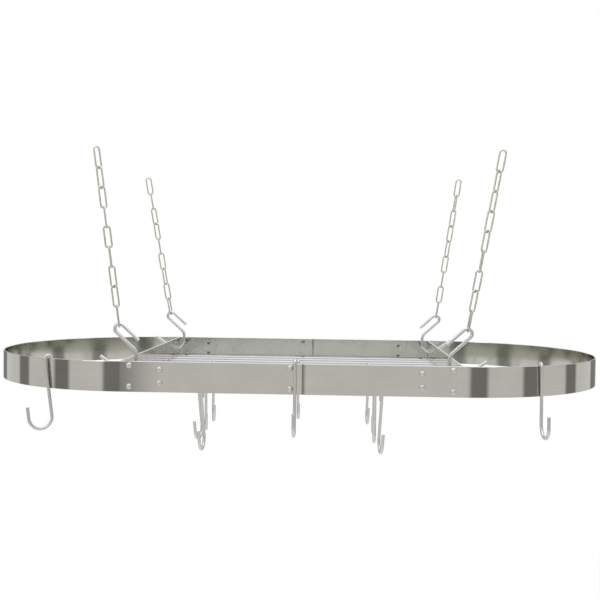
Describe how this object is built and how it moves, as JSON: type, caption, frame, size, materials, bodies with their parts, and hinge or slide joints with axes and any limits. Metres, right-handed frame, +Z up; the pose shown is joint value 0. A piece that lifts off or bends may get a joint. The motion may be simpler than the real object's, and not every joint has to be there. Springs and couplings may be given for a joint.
{
  "type": "hanging pot rack",
  "caption": "Long oval hanging pot rack: a riveted steel band with cross bars, a grid of rods and loose pan hooks, hung from the ceiling on splayed link chains.",
  "frame": {"origin": "Over the rack's middle, at the mean height of the four points where the ceiling hooks bear in the top links.", "axes": "+X is right along the rack's length, -Y is the front seen in the picture, +Z is up."},
  "size_m": [0.9144, 0.497, 0.4225],
  "materials": {
    "band": "brushed along the strip, satin",
    "grid": "polished",
    "rivet": "polished",
    "hanger": "plated, satin",
    "chain": "nickel plated",
    "hook": "polished"
  },
  "bodies": {
    "ceiling_links": {"link_front_left_1": "chain", "link_front_right_1": "chain", "link_rear_left_1": "chain", "link_rear_right_1": "chain"},
    "chain_front_left": {"link_front_left_2": "chain", "link_front_left_3": "chain", "link_front_left_4": "chain", "link_front_left_5": "chain", "link_front_left_6": "chain", "link_front_left_7": "chain", "link_front_left_8": "chain", "link_front_left_9": "chain"},
    "chain_front_right": {"link_front_right_2": "chain", "link_front_right_3": "chain", "link_front_right_4": "chain", "link_front_right_5": "chain", "link_front_right_6": "chain", "link_front_right_7": "chain", "link_front_right_8": "chain", "link_front_right_9": "chain"},
    "chain_rear_left": {"link_rear_left_2": "chain", "link_rear_left_3": "chain", "link_rear_left_4": "chain", "link_rear_left_5": "chain", "link_rear_left_6": "chain", "link_rear_left_7": "chain", "link_rear_left_8": "chain", "link_rear_left_9": "chain"},
    "chain_rear_right": {"link_rear_right_2": "chain", "link_rear_right_3": "chain", "link_rear_right_4": "chain", "link_rear_right_5": "chain", "link_rear_right_6": "chain", "link_rear_right_7": "chain", "link_rear_right_8": "chain", "link_rear_right_9": "chain"},
    "rack": {"band_left": "band", "band_right": "band", "grid_frame": "grid", "hanger_front_left": "hanger", "hanger_front_right": "hanger", "hanger_rear_left": "hanger", "hanger_rear_right": "hanger", "lap_rivet_front_upper": "rivet", "lap_rivet_front_lower": "rivet", "lap_rivet_rear_upper": "rivet", "lap_rivet_rear_lower": "rivet"},
    "pan_hook_left_1": {"pan_hook_left_1": "hook"},
    "pan_hook_left_2": {"pan_hook_left_2": "hook"},
    "pan_hook_left_3": {"pan_hook_left_3": "hook"},
    "pan_hook_left_4": {"pan_hook_left_4": "hook"},
    "pan_hook_right_1": {"pan_hook_right_1": "hook"},
    "pan_hook_right_2": {"pan_hook_right_2": "hook"},
    "pan_hook_right_3": {"pan_hook_right_3": "hook"},
    "pan_hook_right_4": {"pan_hook_right_4": "hook"},
    "pan_hook_middle": {"pan_hook_middle": "hook"},
    "pan_hook_rim_left": {"pan_hook_rim_left": "hook"},
    "pan_hook_rim_right": {"pan_hook_rim_right": "hook"},
    "pan_hook_rim_front": {"pan_hook_rim_front": "hook"}
  },
  "joints": [
    {"name": "swing_front_left", "type": "hinge", "parent": "ceiling_links", "child": "chain_front_left", "pos_m": [-0.26772, -0.1896, -0.0277], "axis": [1, 0, 0], "range_deg": [-15, 15]},
    {"name": "swing_front_right", "type": "hinge", "parent": "ceiling_links", "child": "chain_front_right", "pos_m": [0.2769, -0.1896, -0.02914], "axis": [1, 0, 0], "range_deg": [-15.2, 15.2]},
    {"name": "swing_rear_left", "type": "hinge", "parent": "ceiling_links", "child": "chain_rear_left", "pos_m": [-0.2769, 0.1896, -0.02914], "axis": [1, 0, 0], "range_deg": [-15.2, 15.2]},
    {"name": "swing_rear_right", "type": "hinge", "parent": "ceiling_links", "child": "chain_rear_right", "pos_m": [0.27079, 0.1896, -0.02814], "axis": [1, 0, 0], "range_deg": [-15.2, 15.2]},
    {"name": "rack_level", "type": "hinge", "parent": "chain_front_left", "child": "rack", "pos_m": [-0.23887, -0.1896, -0.24106], "axis": [1, 0, 0], "range_deg": [-15, 15]},
    {"name": "pan_hook_left_1_swing", "type": "hinge", "parent": "rack", "child": "pan_hook_left_1", "pos_m": [-0.129, -0.16, -0.32166], "axis": [1, 0, 0], "range_deg": [-20, 20]},
    {"name": "pan_hook_left_2_swing", "type": "hinge", "parent": "rack", "child": "pan_hook_left_2", "pos_m": [-0.145, -0.08, -0.32166], "axis": [1, 0, 0], "range_deg": [-20, 20]},
    {"name": "pan_hook_left_3_swing", "type": "hinge", "parent": "rack", "child": "pan_hook_left_3", "pos_m": [-0.146, 0, -0.32166], "axis": [1, 0, 0], "range_deg": [-20, 20]},
    {"name": "pan_hook_left_4_swing", "type": "hinge", "parent": "rack", "child": "pan_hook_left_4", "pos_m": [-0.1447, 0.08, -0.32166], "axis": [1, 0, 0], "range_deg": [-20, 20]},
    {"name": "pan_hook_right_1_swing", "type": "hinge", "parent": "rack", "child": "pan_hook_right_1", "pos_m": [0.1257, -0.16, -0.32166], "axis": [1, 0, 0], "range_deg": [-20, 20]},
    {"name": "pan_hook_right_2_swing", "type": "hinge", "parent": "rack", "child": "pan_hook_right_2", "pos_m": [0.1197, -0.08, -0.32166], "axis": [1, 0, 0], "range_deg": [-20, 20]},
    {"name": "pan_hook_right_3_swing", "type": "hinge", "parent": "rack", "child": "pan_hook_right_3", "pos_m": [0.122, 0, -0.32166], "axis": [1, 0, 0], "range_deg": [-20, 20]},
    {"name": "pan_hook_right_4_swing", "type": "hinge", "parent": "rack", "child": "pan_hook_right_4", "pos_m": [0.116, 0.08, -0.32166], "axis": [1, 0, 0], "range_deg": [-20, 20]},
    {"name": "pan_hook_middle_swing", "type": "hinge", "parent": "rack", "child": "pan_hook_middle", "pos_m": [-0.004, 0.12, -0.32166], "axis": [1, 0, 0], "range_deg": [-20, 20]},
    {"name": "pan_hook_rim_left_round", "type": "hinge", "parent": "rack", "child": "pan_hook_rim_left", "pos_m": [-0.2286, 0, -0.28816], "axis": [0, 0, 1], "range_deg": [-147, 23]},
    {"name": "pan_hook_rim_right_round", "type": "hinge", "parent": "rack", "child": "pan_hook_rim_right", "pos_m": [0.2286, 0, -0.28816], "axis": [0, 0, 1], "range_deg": [-23, 147]},
    {"name": "pan_hook_rim_front_slide", "type": "slide", "parent": "rack", "child": "pan_hook_rim_front", "axis": [1, 0, 0], "range_m": [0, 0.15]}
  ],
  "couplings": [
    {"joint": "swing_front_right", "follows": "swing_front_left", "ratio": 1.0066},
    {"joint": "swing_rear_left", "follows": "swing_front_left", "ratio": 1.0066},
    {"joint": "swing_rear_right", "follows": "swing_front_left", "ratio": 1.002},
    {"joint": "rack_level", "follows": "swing_front_left", "ratio": -1}
  ]
}
